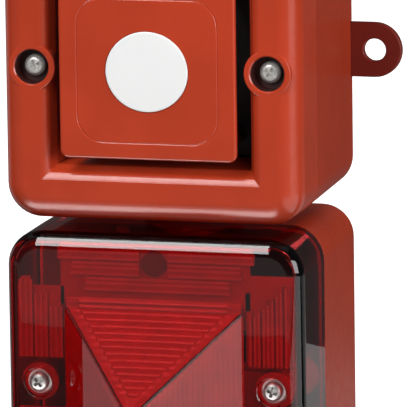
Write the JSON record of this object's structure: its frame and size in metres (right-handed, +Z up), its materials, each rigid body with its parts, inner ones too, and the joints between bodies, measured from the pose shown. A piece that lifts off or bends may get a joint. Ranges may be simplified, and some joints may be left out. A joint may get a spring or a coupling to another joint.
{
  "type": "horn strobe",
  "caption": "Wall-mounted alarm: square horn sounder with a deflector plate in its mouth, over a strobe beacon whose transparent red lens carries a pyramid; lugs at the back, gland below.",
  "frame": {"origin": "centre of the horn housing's back face, on the wall plane", "axes": "+Z up, -Y out of the wall towards the viewer, +X to the right as seen from the front"},
  "size_m": [0.1378, 0.109, 0.2341],
  "materials": {
    "red_moulding": "satin",
    "red_lens": "clear red, moulded",
    "white_badge": "smooth",
    "tube_glass": "clear",
    "reflector_white": "bright white",
    "holder_cream": "matt",
    "black_rubber": "matt",
    "grey_rubber": "matt",
    "black_plastic": "matt",
    "cable_black": "satin sheath",
    "board_green": "solder mask",
    "blue_plastic": "moulded",
    "white_plastic": "moulded",
    "capacitor_sleeve": "shrunk sleeve",
    "winding_tape": "yellow tape",
    "copper_winding": "enamelled wire",
    "driver_black": "moulded",
    "ferrite": "sintered, matt",
    "plated_steel": "zinc plated",
    "diaphragm_film": "thin pressed film",
    "screw_steel": "bright"
  },
  "bodies": {
    "base": {"horn_rear_housing": "red_moulding", "strobe_rear_housing": "red_moulding", "horn_seal": "black_rubber", "strobe_seal": "black_rubber", "fixing_lug_left": "red_moulding", "fixing_lug_right": "red_moulding", "lug_screw_left": "screw_steel", "lug_screw_right": "screw_steel", "coupling_nipple": "plated_steel", "coupling_locknut_upper": "plated_steel", "coupling_locknut_lower": "plated_steel", "coupling_seal": "black_rubber", "stopping_plug_washer": "black_rubber", "gland_locknut": "black_plastic", "gland_body": "black_plastic", "gland_seal": "grey_rubber", "horn_board": "board_green", "strobe_board": "board_green", "horn_board_screw_1": "screw_steel", "horn_board_screw_2": "screw_steel", "strobe_board_screw_1": "screw_steel", "strobe_board_screw_2": "screw_steel", "horn_terminal_block": "blue_plastic", "strobe_terminal_block": "blue_plastic", "tone_switch_body": "blue_plastic", "volume_trimmer_body": "blue_plastic", "flash_capacitor": "capacitor_sleeve", "inverter_transformer": "winding_tape", "trigger_coil": "copper_winding", "tube_holder": "holder_cream", "reflector": "reflector_white", "xenon_tube": "tube_glass", "link_cable": "cable_black"},
    "horn_cover": {"horn_front_cover": "red_moulding", "horn_flare": "black_plastic", "deflector_plate": "red_moulding", "deflector_screw_1": "screw_steel", "deflector_screw_2": "screw_steel", "round_badge": "white_badge", "driver_throat_plate": "driver_black", "driver_surround_clamp": "driver_black", "driver_top_plate": "plated_steel", "driver_magnet": "ferrite", "driver_yoke": "plated_steel"},
    "strobe_lens": {"lens": "red_lens", "lens_washer_left": "screw_steel", "lens_washer_right": "screw_steel"},
    "diaphragm": {"driver_diaphragm": "diaphragm_film", "voice_coil": "copper_winding"},
    "cover_screw_left": {"cover_screw_left": "screw_steel"},
    "cover_screw_right": {"cover_screw_right": "screw_steel"},
    "lens_screw_left": {"lens_screw_left": "screw_steel"},
    "lens_screw_right": {"lens_screw_right": "screw_steel"},
    "volume_rotor": {"volume_trimmer_rotor": "white_plastic"},
    "gland_nut": {"gland_dome_nut": "black_plastic"},
    "side_plug": {"stopping_plug": "red_moulding"},
    "tone_slider_1": {"tone_switch_slider_1": "white_plastic"},
    "tone_slider_2": {"tone_switch_slider_2": "white_plastic"},
    "tone_slider_3": {"tone_switch_slider_3": "white_plastic"},
    "tone_slider_4": {"tone_switch_slider_4": "white_plastic"}
  },
  "joints": [
    {"name": "horn_cover_slide", "type": "slide", "parent": "base", "child": "horn_cover", "axis": [0, -1, 0], "range_m": [0, 0.06]},
    {"name": "lens_slide", "type": "slide", "parent": "base", "child": "strobe_lens", "axis": [0, -1, 0], "range_m": [0, 0.06]},
    {"name": "diaphragm_travel", "type": "slide", "parent": "horn_cover", "child": "diaphragm", "axis": [0, -1, 0], "range_m": [-0.00035, 0.00035], "stiffness_N_per_m": 3000},
    {"name": "cover_screw_left_turn", "type": "hinge", "parent": "horn_cover", "child": "cover_screw_left", "pos_m": [-0.0411, -0.07, 0], "axis": [0, -1, 0], "continuous": true},
    {"name": "lens_screw_left_turn", "type": "hinge", "parent": "strobe_lens", "child": "lens_screw_left", "pos_m": [-0.0411, -0.07, -0.109], "axis": [0, -1, 0], "continuous": true},
    {"name": "cover_screw_right_turn", "type": "hinge", "parent": "horn_cover", "child": "cover_screw_right", "pos_m": [0.0411, -0.07, 0], "axis": [0, -1, 0], "continuous": true},
    {"name": "lens_screw_right_turn", "type": "hinge", "parent": "strobe_lens", "child": "lens_screw_right", "pos_m": [0.0411, -0.07, -0.109], "axis": [0, -1, 0], "continuous": true},
    {"name": "volume_turn", "type": "hinge", "parent": "base", "child": "volume_rotor", "pos_m": [-0.012, -0.014, 0.0335], "axis": [0, -1, 0], "range_deg": [0, 270]},
    {"name": "gland_nut_turn", "type": "hinge", "parent": "base", "child": "gland_nut", "pos_m": [0, -0.024, -0.174], "axis": [0, 0, -1], "continuous": true},
    {"name": "side_plug_turn", "type": "hinge", "parent": "base", "child": "side_plug", "pos_m": [-0.052, -0.024, -0.027], "axis": [-1, 0, 0], "continuous": true},
    {"name": "tone_slider_1_slide", "type": "slide", "parent": "base", "child": "tone_slider_1", "axis": [0, 0, 1], "range_m": [0, 0.0019]},
    {"name": "tone_slider_2_slide", "type": "slide", "parent": "base", "child": "tone_slider_2", "axis": [0, 0, 1], "range_m": [0, 0.0019]},
    {"name": "tone_slider_3_slide", "type": "slide", "parent": "base", "child": "tone_slider_3", "axis": [0, 0, 1], "range_m": [0, 0.0019]},
    {"name": "tone_slider_4_slide", "type": "slide", "parent": "base", "child": "tone_slider_4", "axis": [0, 0, 1], "range_m": [0, 0.0019]}
  ]
}
